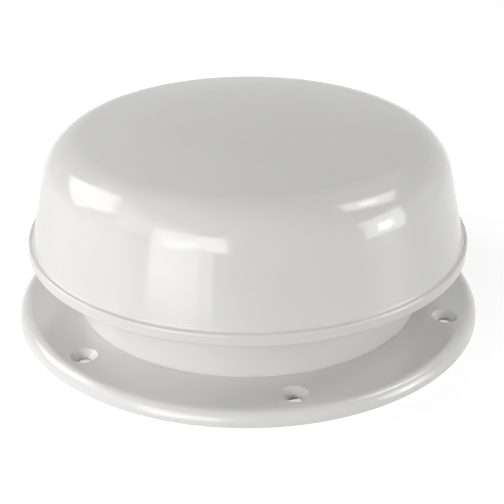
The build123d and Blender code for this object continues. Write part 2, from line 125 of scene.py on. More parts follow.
def span(tree, value, low, high, to_low=0.0, to_high=1.0):
    """Maps a value from one range to another, smoothly and clamped."""
    node = tree.nodes.new("ShaderNodeMapRange")
    node.interpolation_type = "SMOOTHSTEP"
    node.inputs["From Min"].default_value = low
    node.inputs["From Max"].default_value = high
    node.inputs["To Min"].default_value = to_low
    node.inputs["To Max"].default_value = to_high
    tree.links.new(value, node.inputs["Value"])
    return node.outputs["Result"]


def band(tree, value, low, high, fade):
    """One between two values, falling to nothing over the fade outside them."""
    rise = span(tree, value, low - fade, low)
    fall = span(tree, value, high, high + fade, 1.0, 0.0)
    return math_node(tree, "MULTIPLY", rise, fall)


def blended(tree, factor, first, second):
    """A colour between two colours, or between a socket's colour and a colour."""
    node = tree.nodes.new("ShaderNodeMix")
    node.data_type = "RGBA"
    tree.links.new(factor, node.inputs["Factor"])
    for value, key in ((first, "A"), (second, "B")):
        socket = [s for s in node.inputs if s.name == key and s.type == "RGBA"][0]
        if isinstance(value, tuple):
            socket.default_value = (*value, 1.0)
        else:
            tree.links.new(value, socket)
    return [s for s in node.outputs if s.type == "RGBA"][0]


def axis_radius(tree, place):
    """Distance of the point from the vent's axis."""
    split = tree.nodes.new("ShaderNodeSeparateXYZ")
    tree.links.new(place, split.inputs["Vector"])
    across = math_node(tree, "POWER", split.outputs["X"], 2.0)
    along = math_node(tree, "POWER", split.outputs["Y"], 2.0)
    return math_node(tree, "POWER", math_node(tree, "ADD", across, along), 0.5)


def height_of(tree, place):
    """Height of the point above the roof."""
    split = tree.nodes.new("ShaderNodeSeparateXYZ")
    tree.links.new(place, split.inputs["Vector"])
    return split.outputs["Z"]


def relief(tree, shader, layers):
    """Bumps laid over each other; each layer is a height socket and its depth in metres."""
    normal = None
    for height, depth in layers:
        node = tree.nodes.new("ShaderNodeBump")
        node.inputs["Strength"].default_value = 1.0
        node.inputs["Distance"].default_value = depth
        tree.links.new(height, node.inputs["Height"])
        if normal:
            tree.links.new(normal, node.inputs["Normal"])
        normal = node.outputs["Normal"]
    tree.links.new(normal, shader.inputs["Normal"])


def seen_directly(tree):
    """One for camera, glossy and transmission rays, nothing for the rays that light the vent."""
    path = tree.nodes.new("ShaderNodeLightPath")
    seen = math_node(tree, "MAXIMUM", path.outputs["Is Camera Ray"], path.outputs["Is Glossy Ray"])
    return math_node(tree, "MAXIMUM", seen, path.outputs["Is Transmission Ray"])


# Materials

COMMON = (0.3, 0.7)  # most of a noise's values lie between these
GLOSS_IOR = 1.56
CREASE_FADE = 0.3 * MM
DUST_AND_CREASE_SHADE_TONE = 0.72  # colour of the dust and painted crease shade, as a share of the deep colour
DUST_AND_CREASE_SHADE_COVER = 0.22  # how far full dust and painted crease shade hide the colour below them
DUST_DULLING = 0.15  # what full dust adds to the roughness
CROWN_WEAR = 0.12  # what weather adds to the roughness of the cap's crown
CROWN_WORN_TO = 48.0 * MM
CROWN_NEW_FROM = 72.0 * MM


def glossy_plastic(name, pale, deep, roughness, crease_heights, crease_radii):
    """Glossy off-white moulding: soft mottle, a slight orange peel, dust and painted shade darkening its
    crease, and a crown that weather has made a little duller."""
    material, tree, shader = new_material(name, pale, roughness, ior=GLOSS_IOR)
    place = part_place(tree)
    radius = axis_radius(tree, place)
    mottle = noise(tree, place, scale=34.0, detail=3.0, roughness=0.55)
    color = blended(tree, span(tree, mottle, *COMMON), pale, deep)

    # Painted shade: the crease band is darkened as if shaded in its concave corner, and as dust in patches.
    crease = math_node(tree, "MULTIPLY", band(tree, height_of(tree, place), *crease_heights, CREASE_FADE),
                       band(tree, radius, *crease_radii, CREASE_FADE))
    patches = span(tree, noise(tree, place, scale=160.0), 0.35, 0.75, 0.25, 0.8)
    dust_and_crease_shade = math_node(tree, "MULTIPLY", crease, patches)
    dust_and_shade_color = tuple(DUST_AND_CREASE_SHADE_TONE * channel for channel in deep)
    color = blended(tree, math_node(tree, "MULTIPLY", dust_and_crease_shade, DUST_AND_CREASE_SHADE_COVER), color, dust_and_shade_color)
    tree.links.new(color, shader.inputs["Base Color"])

    uneven = span(tree, noise(tree, place, scale=55.0), *COMMON, roughness - 0.02, roughness + 0.04)
    worn = span(tree, radius, CROWN_WORN_TO, CROWN_NEW_FROM, CROWN_WEAR, 0.0)
    dull = math_node(tree, "MAXIMUM", math_node(tree, "MULTIPLY", dust_and_crease_shade, DUST_DULLING), worn)
    tree.links.new(math_node(tree, "ADD", uneven, dull), shader.inputs["Roughness"])

    sink_marks = noise(tree, place, scale=38.0, detail=1.0)
    peel = noise(tree, place, scale=1100.0, roughness=0.6)
    relief(tree, shader, [(sink_marks, 0.20 * MM), (peel, 0.004 * MM)])
    return material


def satin_plastic(name, pale, deep, roughness, grain=2400.0, depth=0.020 * MM):
    """Satin moulding with a spark-eroded grain, a soft mottle and rubbed patches."""
    material, tree, shader = new_material(name, pale, roughness)
    place = part_place(tree)
    mottle = noise(tree, place, scale=60.0, detail=4.0, roughness=0.6)
    color = blended(tree, span(tree, mottle, *COMMON), pale, deep)
    fine = noise(tree, place, scale=grain, roughness=0.6)
    speck = tuple(0.8 * channel for channel in deep)
    color = blended(tree, span(tree, fine, 0.62, 0.80, 0.0, 0.18), color, speck)
    tree.links.new(color, shader.inputs["Base Color"])
    patches = noise(tree, place, scale=90.0, detail=3.0)
    rubbed = span(tree, patches, 0.45, 0.7, roughness + 0.05, roughness - 0.10)
    tree.links.new(rubbed, shader.inputs["Roughness"])
    sink_marks = noise(tree, place, scale=70.0, detail=1.0)
    relief(tree, shader, [(fine, depth), (sink_marks, 0.12 * MM)])
    return material


RUBBER_ROUGHNESS = 0.75


def rubber(name, dark, bloom, pores, depth):
    """Black rubber or foam with pores and a faint grey bloom."""
    material, tree, shader = new_material(name, dark, RUBBER_ROUGHNESS)
    place = part_place(tree)
    cloud = noise(tree, place, scale=120.0, detail=4.0, roughness=0.65)
    color = blended(tree, span(tree, cloud, 0.42, 0.75), dark, bloom)
    tree.links.new(color, shader.inputs["Base Color"])
    uneven = span(tree, noise(tree, place, scale=300.0), *COMMON, 0.62, 0.88)
    tree.links.new(uneven, shader.inputs["Roughness"])
    crumb = noise(tree, place, scale=pores * 2.2, detail=3.0)
    relief(tree, shader, [(cells(tree, place, pores), depth), (crumb, depth * 0.6)])
    return material


TOOL_MARKS = 18000.0  # radians per metre, which is a mark every 0.35 mm


def turned_metal(name, pale, deep, roughness):
    """Turned metal: tool marks round and along its axis, with a slight tarnish."""
    material, tree, shader = new_material(name, pale, roughness, metallic=1.0)
    place = part_place(tree)
    tarnish = noise(tree, place, scale=150.0, detail=4.0, roughness=0.65)
    tree.links.new(blended(tree, span(tree, tarnish, 0.4, 0.72), pale, deep), shader.inputs["Base Color"])
    rings, turns = (
        math_node(tree, "SINE", math_node(tree, "MULTIPLY", length, TOOL_MARKS), 0.0)
        for length in (axis_radius(tree, place), height_of(tree, place)))
    marks = math_node(tree, "ADD", rings, turns)
    uneven = noise(tree, place, scale=500.0, detail=3.0)
    dulled = span(tree, uneven, *COMMON, roughness - 0.06, roughness + 0.10)
    tree.links.new(dulled, shader.inputs["Roughness"])
    relief(tree, shader, [(marks, 0.0035 * MM), (uneven, 0.010 * MM)])
    return material


def stamped_metal(name, pale, deep, roughness):
    """Plated steel: fine brushed lines, dull patches and small pits."""
    material, tree, shader = new_material(name, pale, roughness, metallic=1.0)
    place = part_place(tree)
    patches = noise(tree, place, scale=260.0, detail=4.0, roughness=0.6)
    tree.links.new(blended(tree, span(tree, patches, 0.4, 0.7), pale, deep), shader.inputs["Base Color"])
    brushed = stretched(tree, place, scale=(5000.0, 260.0, 5000.0), turn=(0.0, 0.0, 0.5))
    lines = noise(tree, brushed, scale=1.0)
    dulled = span(tree, patches, *COMMON, roughness - 0.05, roughness + 0.12)
    tree.links.new(dulled, shader.inputs["Roughness"])
    relief(tree, shader, [(lines, 0.006 * MM), (cells(tree, place, scale=1500.0), 0.006 * MM)])
    return material


# Each slot's kind of material and what it asks for: two colours, then roughness, crease, grain or pores
LOOKS = {
    "cap_plastic": (
        glossy_plastic, (0.730, 0.724, 0.708), (0.715, 0.709, 0.693), 0.10,
        (35.2 * MM, 36.2 * MM), (91.0 * MM, 93.0 * MM)),
    "flange_plastic": (
        glossy_plastic, (0.780, 0.775, 0.758), (0.765, 0.760, 0.743), 0.12,
        (5.0 * MM, 6.4 * MM), (73.0 * MM, 75.4 * MM)),
    "bridge_nylon": (satin_plastic, (0.52, 0.52, 0.50), (0.47, 0.47, 0.45), 0.42),
    "carrier_nylon": (satin_plastic, (0.56, 0.56, 0.54), (0.51, 0.51, 0.49), 0.42),
    "bush_acetal": (satin_plastic, (0.75, 0.74, 0.70), (0.70, 0.69, 0.65), 0.32, 3200.0, 0.008 * MM),
    "screen_plastic": (satin_plastic, (0.58, 0.58, 0.57), (0.53, 0.53, 0.52), 0.40),
    "screen_net": (satin_plastic, (0.200, 0.210, 0.210), (0.150, 0.158, 0.160), 0.50, 5200.0, 0.010 * MM),
    "knob_plastic": (satin_plastic, (0.60, 0.60, 0.59), (0.55, 0.55, 0.54), 0.36, 1800.0, 0.030 * MM),
    "knob_cap_plastic": (satin_plastic, (0.30, 0.31, 0.32), (0.26, 0.27, 0.28), 0.34, 2200.0),
    "foam_rubber": (rubber, (0.045, 0.045, 0.046), (0.085, 0.085, 0.085), 1500.0, 0.180 * MM),
    "seal_rubber": (rubber, (0.030, 0.030, 0.031), (0.070, 0.070, 0.070), 3500.0, 0.030 * MM),
    "insert_brass": (turned_metal, (0.72, 0.56, 0.30), (0.55, 0.40, 0.20), 0.30),
    "spindle_steel": (turned_metal, (0.62, 0.62, 0.61), (0.50, 0.50, 0.50), 0.28),
    "washer_steel": (stamped_metal, (0.60, 0.60, 0.60), (0.46, 0.46, 0.46), 0.34),
    "screw_steel": (stamped_metal, (0.64, 0.64, 0.63), (0.50, 0.50, 0.50), 0.28),
}
materials = {slot: kind(slot, *look) for slot, (kind, *look) in LOOKS.items()}


# Mesh building blocks

SAME_POINT = 1e-7  # points nearer than this coincide


def new_object(name, data):
    """An object in the scene."""
    made = bpy.data.objects.new(name, data)
    bpy.context.scene.collection.objects.link(made)
    return made


def add_object(name, mesh, body, slot, smooth_angle=radians(40)):
    """Puts a finished mesh in the scene as a piece that rides on a body."""
    piece = new_object(name, mesh)
    mesh.materials.clear()
    mesh.materials.append(materials[slot])
    for polygon in mesh.polygons:
        polygon.use_smooth = True
    mesh.set_sharp_from_angle(angle=smooth_angle)
    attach(piece, body)
    return piece


def ring_mesh(name, rings, closed=False):
    """A mesh from rings of equally many points: closed on itself, or capped at its first and last ring."""
    mesh = bpy.data.meshes.new(name)
    count = len(rings[0])
    points = [point for ring in rings for point in ring]
    faces = []
    for index in range(len(rings) if closed else len(rings) - 1):
        here = index * count
        there = (index + 1) % len(rings) * count
        for step in range(count):
            after = (step + 1) % count
            faces.append((here + step, here + after, there + after, there + step))
    if not closed:
        faces.append(tuple(range(count - 1, -1, -1)))
        faces.append(tuple(range(len(points) - count, len(points))))
    mesh.from_pydata(points, [], faces)
    mesh.validate()
    return mesh


def around(radius, count, start=0.0):
    """Points evenly spaced round the axis, as (x, y)."""
    angles = [start + 2 * pi * i / count for i in range(count)]
    return [(radius * cos(angle), radius * sin(angle)) for angle in angles]


def circle(radius, height, count):
    """A ring of points round the axis at one height."""
    return [(x, y, height) for x, y in around(radius, count)]


def lathe(name, profile, count, closed=True):
    """A turned form from a profile of (radius, height), closed on itself or capped at its ends."""
    return ring_mesh(name, [circle(radius, height, count) for radius, height in profile], closed)


def outward(mesh):
    """Joins points that coincide and turns every face outwards."""
    work = bmesh.new()
    work.from_mesh(mesh)
    bmesh.ops.remove_doubles(work, verts=work.verts, dist=SAME_POINT)
    bmesh.ops.recalc_face_normals(work, faces=work.faces)
    work.to_mesh(mesh)
    work.free()
    return mesh


def copies(name, source, moves):
    """One mesh with a copy of the source for each move."""
    work = bmesh.new()
    for move in moves:
        part = source.copy()
        part.transform(move)
        work.from_mesh(part)
        bpy.data.meshes.remove(part)
    mesh = bpy.data.meshes.new(name)
    work.to_mesh(mesh)
    work.free()
    return mesh


# Insect screen

SCREEN_PITCH = 1.6 * MM
SCREEN_WIRE = 0.125 * MM  # half a wire's thickness
SCREEN_WAVE = 0.070 * MM  # how far a wire goes up or down at a crossing
SCREEN_HOLE = 6.5 * MM  # radius
SCREEN_WELD = 1.6 * MM  # width of the flat rims
SCREEN_SINK = 0.3 * MM  # how far the wires' ends stay inside the rims' edges
SCREEN_MARGIN = 1.0 * MM  # least distance of the last wires from the outer edge
WELD_FACETS = 144


def woven_screen():
    """Woven insect screen: wires over and under each other, welded to a flat rim at both edges."""
    low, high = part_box("insect_screen")
    outer = (high[0] - low[0]) / 2
    inner = SCREEN_HOLE
    middle = (low[2] + high[2]) / 2
    half = (high[2] - low[2]) / 2
    points, faces = [], []

    def wire(row, along_x):
        offset = row * SCREEN_PITCH
        reach = sqrt(max((outer - SCREEN_SINK) ** 2 - offset**2, 0.0))
        hole = sqrt(max((inner + SCREEN_SINK) ** 2 - offset**2, 0.0))
        for start, end in ((-reach, -hole), (hole, reach)) if hole else ((-reach, reach),):
            first = ceil(start / SCREEN_PITCH)
            last = floor(end / SCREEN_PITCH)
            stops = [start] + [step * SCREEN_PITCH for step in range(first, last + 1)] + [end]
            begin = len(points)
            for stop in stops:
                step = round(stop / SCREEN_PITCH)
                lift = SCREEN_WAVE * (1 if (step + row + (0 if along_x else 1)) % 2 else -1)
                for side, rise in ((1, 0), (0, 1), (-1, 0), (0, -1)):
                    shift = offset + side * SCREEN_WIRE
                    z = middle + lift + rise * SCREEN_WIRE
                    points.append((stop, shift, z) if along_x else (shift, stop, z))
            for index in range(len(stops) - 1):
                base = begin + 4 * index
                for side in range(4):
                    after = (side + 1) % 4
                    faces.append((base + side, base + after, base + 4 + after, base + 4 + side))
            faces.append((begin + 3, begin + 2, begin + 1, begin))
            faces.append(tuple(range(len(points) - 4, len(points))))

    rows = floor((outer - SCREEN_MARGIN) / SCREEN_PITCH)
    for row in range(-rows, rows + 1):
        wire(row, True)
        wire(row, False)
    mesh = bpy.data.meshes.new("woven_net")
    mesh.from_pydata(points, [], faces)
    rims = bmesh.new()
    rims.from_mesh(mesh)
    for near, far in ((outer - SCREEN_WELD, outer), (inner, inner + SCREEN_WELD)):
        section = [(near, middle - half), (far, middle - half), (far, middle + half), (near, middle + half)]
        rim = lathe("weld", section, WELD_FACETS)
        rims.from_mesh(rim)
        bpy.data.meshes.remove(rim)
    bmesh.ops.recalc_face_normals(rims, faces=rims.faces)
    rims.to_mesh(mesh)
    rims.free()
    net = add_object("woven_net", mesh, "base", "screen_net")
    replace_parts(net, "insect_screen")


# Spindle

THREAD_LEAD = 5.0 * MM
THREAD_STARTS = 2
THREAD_DEPTH = 0.75 * MM
THREAD_STEP = 0.16 * MM  # height between the thread's rings of points
THREAD_FADE = 5  # rings over which the thread rises to its full height and falls again
THREAD_CREST = 0.62  # share of the way from a groove's middle to a crest's at which the crest begins
THREAD_FLANK = 0.24  # share that the flank takes up before it
THREAD_END = 0.8 * MM  # the thread's last ring lies no nearer than this to the spindle's top
SPINDLE_FACETS = 96
SPINDLE_CREST = 6.0 * MM
SPINDLE_TAIL = 5.0 * MM
SPINDLE_FLAT = 4.0 * MM  # distance of the tail's flat from the axis
SPINDLE_FLAT_LENGTH = 12.5 * MM
SPINDLE_SHOULDER = 9.5 * MM
SPINDLE_SHOULDER_THICKNESS = 3.0 * MM
SPINDLE_SHOULDER_GAP = 0.2 * MM  # between the shoulder and the bush above it
SPINDLE_BEVEL = 0.3 * MM
SPINDLE_GROOVE_DEPTH = 0.8 * MM
SPINDLE_HOLE = 2.55 * MM
SPINDLE_HOLE_DEPTH = 14.0 * MM
SPINDLE_RUNOUT = 0.4 * MM  # height over which the shaft falls to the thread's root
SPINDLE_TIP = 0.6 * MM
SPINDLE_TIP_CENTRE = 0.02 * MM


def thread_radius(crest, angle, height):
    """Radius of a right-hand trapezoidal thread at an angle and a height."""
    phase = (height / THREAD_LEAD - angle / (2 * pi)) * THREAD_STARTS % 1.0
    rise = abs(phase - 0.5) * 2
    return crest - THREAD_DEPTH * min(max((THREAD_CREST - rise) / THREAD_FLANK, 0.0), 1.0)


def threaded_spindle():
    """Spindle with its lifting thread, retaining groove, shoulder, flatted tail and screw hole."""
    low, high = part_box("spindle")
    groove_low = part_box("retaining_ring")[0][2]
    groove_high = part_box("retaining_ring")[1][2]
    thread_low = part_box("thread_insert")[0][2]
    shoulder_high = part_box("spindle_bush")[0][2] - SPINDLE_SHOULDER_GAP
    shoulder_low = shoulder_high - SPINDLE_SHOULDER_THICKNESS
    flat_high = low[2] + SPINDLE_FLAT_LENGTH
    root = SPINDLE_CREST - THREAD_DEPTH
    rings = []

    def turned(radius, height, flatted=False):
        ring = circle(radius, height, SPINDLE_FACETS)
        rings.append([(min(x, SPINDLE_FLAT), y, z) for x, y, z in ring] if flatted else ring)

    turned(SPINDLE_HOLE, low[2] + SPINDLE_HOLE_DEPTH)
    turned(SPINDLE_HOLE, low[2])
    turned(SPINDLE_TAIL - SPINDLE_BEVEL, low[2], True)
    turned(SPINDLE_TAIL, low[2] + SPINDLE_BEVEL, True)
    turned(SPINDLE_TAIL, flat_high, True)
    turned(SPINDLE_TAIL, flat_high)
    turned(SPINDLE_TAIL, shoulder_low)
    turned(SPINDLE_SHOULDER - SPINDLE_BEVEL, shoulder_low)
    turned(SPINDLE_SHOULDER, shoulder_low + SPINDLE_BEVEL)
    turned(SPINDLE_SHOULDER, shoulder_high - SPINDLE_BEVEL)
    turned(SPINDLE_SHOULDER - SPINDLE_BEVEL, shoulder_high)
    turned(SPINDLE_CREST, shoulder_high)
    turned(SPINDLE_CREST, groove_low)
    turned(SPINDLE_CREST - SPINDLE_GROOVE_DEPTH, groove_low)
    turned(SPINDLE_CREST - SPINDLE_GROOVE_DEPTH, groove_high)
    turned(SPINDLE_CREST, groove_high)
    turned(SPINDLE_CREST, thread_low - SPINDLE_RUNOUT)
    turned(root, thread_low)
    steps = int((high[2] - THREAD_END - thread_low) / THREAD_STEP)
    for step in range(1, steps + 1):
        height = thread_low + step * THREAD_STEP
        fade = min(step / THREAD_FADE, (steps - step) / THREAD_FADE, 1.0)
        ring = []
        for index in range(SPINDLE_FACETS):
            angle = 2 * pi * index / SPINDLE_FACETS
            radius = root + (thread_radius(SPINDLE_CREST, angle, height) - root) * fade
            ring.append((radius * cos(angle), radius * sin(angle), height))
        rings.append(ring)
    turned(root, high[2] - SPINDLE_TIP)
    turned(root - SPINDLE_TIP, high[2])
    turned(SPINDLE_TIP_CENTRE, high[2])
    mesh = outward(ring_mesh("threaded_spindle", rings))
    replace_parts(add_object("threaded_spindle", mesh, "spindle", "spindle_steel", radians(30)), "spindle")


# Wave washer

WAVE_COUNT = 3
WAVE_THICKNESS = 0.3 * MM
WAVE_HOLE = 6.1 * MM
WAVE_FACETS = 120


def wave_spring():
    """Wave washer as it really is: a thin ring bent up and down three times."""
    low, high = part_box("wave_washer")
    outer = (high[0] - low[0]) / 2
    middle = (low[2] + high[2]) / 2
    swing = (high[2] - low[2] - WAVE_THICKNESS) / 2
    rings = []
    for radius, side in ((WAVE_HOLE, -1), (outer, -1), (outer, 1), (WAVE_HOLE, 1)):
        ring = []
        for x, y in around(radius, WAVE_FACETS):
            height = middle + swing * cos(WAVE_COUNT * atan2(y, x)) + side * WAVE_THICKNESS / 2
            ring.append((x, y, height))
        rings.append(ring)
    mesh = outward(ring_mesh("wave_spring", rings, closed=True))
    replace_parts(add_object("wave_spring", mesh, "spindle", "washer_steel"), "wave_washer")


# Screws

# Radius and height of the head, radius and length of the shank
BRIDGE_SCREW = (3.8 * MM, 2.6 * MM, 2.0 * MM, 12.0 * MM)
SCREEN_SCREW = (2.8 * MM, 1.8 * MM, 1.5 * MM, 9.0 * MM)
CARRIER_SCREW = (2.8 * MM, 1.8 * MM, 1.5 * MM, 7.0 * MM)
KNOB_SCREW = (4.5 * MM, 2.2 * MM, 2.5 * MM, 14.0 * MM)
SCREW_FACETS = 40
SCREW_CENTRE = 0.02  # share of a radius at which head and tip are closed
SCREW_WELD = 0.004 * MM  # points nearer than this become one once the recess is cut
SCREW_TURN_START = 0.6  # the angles at which the screws happened to stop
SCREW_TURN_STEP = 1.9
# Head, as shares of its radius and height
HEAD_FLAT = 0.72
HEAD_SIDE = 0.30
HEAD_STEPS = 6
# Shank, as shares of its radius
SHANK_PITCH = 0.45
SHANK_ROOT = 0.80
SHANK_POINT = 0.80
# Thread: where it starts, and where a turn's root and crest lie as shares of the pitch
TURN_START = 0.15 * MM
TURN_ROOT = 0.30
TURN_CREST = 0.75
# Recess, as shares of the head's radius and height, and how its reach widens from floor to mouth
RECESS_REACH = 0.62
RECESS_HALF_WIDTH = 0.15
RECESS_DEPTH = 0.78
RECESS_FLOOR = 0.45
RECESS_MOUTH = 1.05


def screw_profile(head_radius, head_height, shank_radius, shank_length):
    """Profile of a pan-head screw from the middle of its head to its tip."""
    profile = [(head_radius * SCREW_CENTRE, -head_height)]
    for step in range(HEAD_STEPS + 1):
        turn = pi / 2 * step / HEAD_STEPS
        profile.append((head_radius * (HEAD_FLAT + (1 - HEAD_FLAT) * sin(turn)),
                        -head_height * (HEAD_SIDE + (1 - HEAD_SIDE) * cos(turn))))
    profile += [(head_radius, 0.0), (shank_radius, 0.0)]
    root = shank_radius * SHANK_ROOT
    pitch = shank_radius * SHANK_PITCH
    turns = int((shank_length - shank_radius) / pitch)
    for index in range(turns):
        base = TURN_START + index * pitch
        profile += [(root, base + pitch * TURN_ROOT), (shank_radius, base + pitch * TURN_CREST)]
    profile.append((root, shank_length - shank_radius * SHANK_POINT))
    profile.append((shank_radius * SCREW_CENTRE, shank_length))
    return profile


def recess_mesh(name, head_radius, head_height):
    """A tapered cross to cut out of a screw's head."""
    reach, half_width = head_radius * RECESS_REACH, head_radius * RECESS_HALF_WIDTH
    depth = head_height * RECESS_DEPTH
    work = bmesh.new()
    for turn in (0.0, pi / 2):
        for vert in bmesh.ops.create_cube(work, size=1.0)["verts"]:
            taper = RECESS_FLOOR if vert.co.z > 0 else RECESS_MOUTH
            spot = Vector((vert.co.x * 2 * reach * taper, vert.co.y * 2 * half_width,
                           vert.co.z * 2 * depth - head_height))
            vert.co = Matrix.Rotation(turn, 3, "Z") @ spot
    mesh = bpy.data.meshes.new(name)
    work.to_mesh(mesh)
    work.free()
    return mesh


def cross_screw(name, head_radius, head_height, shank_radius, shank_length):
    """A pan-head screw, head down on z = 0 and shank up, with a cross recess and a threaded shank."""
    profile = screw_profile(head_radius, head_height, shank_radius, shank_length)
    body = new_object(name, outward(lathe(name, profile, SCREW_FACETS, closed=False)))
    tool = new_object(name + "_recess", recess_mesh(name + "_recess", head_radius, head_height))
    cut = body.modifiers.new("recess", "BOOLEAN")
    cut.operation = "DIFFERENCE"
    cut.solver = "EXACT"
    cut.use_self = True
    cut.object = tool
    bpy.context.view_layer.update()
    graph = bpy.context.evaluated_depsgraph_get()
    mesh = bpy.data.meshes.new_from_object(body.evaluated_get(graph))
    bpy.data.objects.remove(body)
    bpy.data.objects.remove(tool)
    clean = bmesh.new()
    clean.from_mesh(mesh)
    bmesh.ops.remove_doubles(clean, verts=clean.verts, dist=SCREW_WELD)
    bmesh.ops.dissolve_degenerate(clean, edges=clean.edges, dist=SCREW_WELD)
    clean.to_mesh(mesh)
    clean.free()
    return mesh


def screw_group(node, body, places, seat, upwards, sizes):
    """Replaces a node of screws: heads seated on a height, shanks up or down."""
    source = cross_screw(node + "_shape", *sizes)
    flip = Matrix.Identity(4) if upwards else Matrix.Rotation(pi, 4, "X")
    moves = []
    for index, (x, y) in enumerate(places):
        turn = Matrix.Rotation(SCREW_TURN_START + SCREW_TURN_STEP * index, 4, "Z")
        moves.append(Matrix.Translation((x, y, seat)) @ turn @ flip)
    group = copies(node + "_cross", source, moves)
    piece = add_object(node + "_cross", group, body, "screw_steel", radians(35))
    bpy.data.meshes.remove(source)
    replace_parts(piece, node)


def all_screws():
    """The screws of the bridge, screen, carrier and knob."""
    low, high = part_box("bridge_screws")
    head_radius, head_height, *_ = BRIDGE_SCREW
    places = around((high[0] - low[0]) / 2 - head_radius, 4)
    screw_group("bridge_screws", "base", places, high[2] - head_height, False, BRIDGE_SCREW)

    low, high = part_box("screen_screws")
    head_radius, head_height, *_ = SCREEN_SCREW
    places = around(((high[0] - low[0]) / 2 - head_radius) * sqrt(2), 4, pi / 4)
    screw_group("screen_screws", "base", places, low[2] + head_height, True, SCREEN_SCREW)

    low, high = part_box("carrier_screws")
    head_radius, head_height, *_ = CARRIER_SCREW
    places = around((high[0] - low[0]) / 2 - head_radius, 4)
    screw_group("carrier_screws", "cap", places, low[2] + head_height, True, CARRIER_SCREW)

    low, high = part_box("knob_screw")
    _, head_height, *_ = KNOB_SCREW
    screw_group("knob_screw", "spindle", [(0.0, 0.0)], low[2] + head_height, True, KNOB_SCREW)


# Knob

KNOB_FACETS = 256
KNOB_LOBES = 8
KNOB_SCALLOP = 6.5 * MM
KNOB_SCALLOP_DEPTH = 2.6 * MM
KNOB_LOBE_EDGE = 1.1 * MM  # how far the lobes' corners are eased
KNOB_EDGE = 1.4 * MM  # radius of the rounded lower edge
KNOB_EDGE_STEPS = 5
KNOB_SIDE_STEPS = 7
KNOB_RECESS = 10.0 * MM
KNOB_RECESS_DEPTH = 4.5 * MM
KNOB_BUSH = 7.65 * MM
KNOB_HUB = 10.2 * MM
KNOB_WEB_TOP = 8.5 * MM  # above the knob's lowest point
KNOB_WALL = 5.2 * MM  # lobes and wall, from the knob's radius in to the pocket
KNOB_FILLET = 0.5 * MM
KNOB_TOP_EDGE = ((0.15 * MM, 0.15 * MM), (0.5 * MM, 0.0))  # in from the side, down from the top
# Lower face from the recess out: past the recess's radius, above the lowest point
KNOB_DISH = ((0.0, 0.3 * MM), (0.3 * MM, 0.15 * MM), (1.6 * MM, 0.45 * MM), (5.0 * MM, 0.30 * MM))
KNOB_RIM = (0.6 * MM, 0.03 * MM)  # where the dish ends: in from the rounded edge, above the lowest point


def knob_outline(radius, angle):
    """Radius of the lobed grip at an angle, with its lobes' corners eased."""
    centre = radius + KNOB_SCALLOP - KNOB_SCALLOP_DEPTH
    step = 2 * pi / KNOB_LOBES
    off = (angle % step) - step / 2
    across = centre * sin(off)
    if abs(across) >= KNOB_SCALLOP:
        return radius
    scallop = centre * cos(off) - sqrt(KNOB_SCALLOP**2 - across**2)
    near = max(0.0, KNOB_LOBE_EDGE - abs(radius - scallop)) ** 2 / (4 * KNOB_LOBE_EDGE)
    return min(radius, scallop) - near


def lobed_knob():
    """Hand knob with eased lobes, a rounded lower edge, a shallow dish and a ring-shaped pocket behind."""
    low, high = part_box("knob")
    radius = (high[0] - low[0]) / 2
    bottom, top = low[2], high[2]
    recess_top, web_top, pocket = bottom + KNOB_RECESS_DEPTH, bottom + KNOB_WEB_TOP, radius - KNOB_WALL
    rings = []

    def plain(size, height):
        rings.append(circle(size, height, KNOB_FACETS))

    def lobed(inset, height):
        ring = []
        for index in range(KNOB_FACETS):
            angle = 2 * pi * index / KNOB_FACETS
            size = knob_outline(radius, angle) - inset
            ring.append((size * cos(angle), size * sin(angle), height))
        rings.append(ring)

    plain(KNOB_BUSH, top)
    plain(KNOB_BUSH, recess_top)
    plain(KNOB_RECESS, recess_top)
    for past, rise in KNOB_DISH:
        plain(KNOB_RECESS + past, bottom + rise)
    lobed(KNOB_EDGE + KNOB_RIM[0], bottom + KNOB_RIM[1])
    for step in range(KNOB_EDGE_STEPS + 1):
        turn = pi / 2 * step / KNOB_EDGE_STEPS
        lobed(KNOB_EDGE * (1 - sin(turn)), bottom + KNOB_EDGE * (1 - cos(turn)))
    side = top - bottom - KNOB_EDGE - KNOB_FILLET
    for step in range(1, KNOB_SIDE_STEPS + 1):
        lobed(0.0, bottom + KNOB_EDGE + side * step / KNOB_SIDE_STEPS)
    for inset, drop in KNOB_TOP_EDGE:
        lobed(inset, top - drop)
    plain(pocket, top)
    plain(pocket, web_top + KNOB_FILLET)
    plain(pocket - KNOB_FILLET, web_top)
    plain(KNOB_HUB + KNOB_FILLET, web_top)
    plain(KNOB_HUB, web_top + KNOB_FILLET)
    plain(KNOB_HUB, top)
    mesh = outward(ring_mesh("lobed_knob", rings, closed=True))
    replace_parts(add_object("lobed_knob", mesh, "spindle", "knob_plastic", radians(32)), "knob")


# The dressed part: every node takes its material, then the fine pieces stand for theirs

for subpart in frame["record"]["subparts"]:
    node = frame["nodes"][subpart["node"]]
    node.data.materials.clear()
    node.data.materials.append(materials[subpart["material_slot"]])

woven_screen()
threaded_spindle()
wave_spring()
all_screws()
lobed_knob()


# Floor, light and camera

FLOOR_SIZE = 6.0
FLOOR_DROP = 0.02 * MM
FLOOR_COLOR = (0.55, 0.55, 0.55)
FLOOR_ROUGHNESS = 0.50
FLOOR_LIFT = 0.65
WORLD_LEVEL = 0.04
WHITE = (1.0, 1.0, 1.0, 1.0)


def pale_floor():
    """Pale floor that keeps a soft shadow. Its own glow, which lights nothing, fades it into the white."""
    mesh = bpy.data.meshes.new("floor")
    side = FLOOR_SIZE / 2
    corners = [(-side, -side, 0), (side, -side, 0), (side, side, 0), (-side, side, 0)]
    mesh.from_pydata(corners, [], [(0, 1, 2, 3)])
    piece = new_object("floor", mesh)
    piece.location.z = -FLOOR_DROP
    material, tree, shader = new_material("floor_white", FLOOR_COLOR, FLOOR_ROUGHNESS)
    shader.inputs["Emission Color"].default_value = WHITE
    glow = math_node(tree, "MULTIPLY", seen_directly(tree), FLOOR_LIFT)
    tree.links.new(glow, shader.inputs["Emission Strength"])
    mesh.materials.append(material)


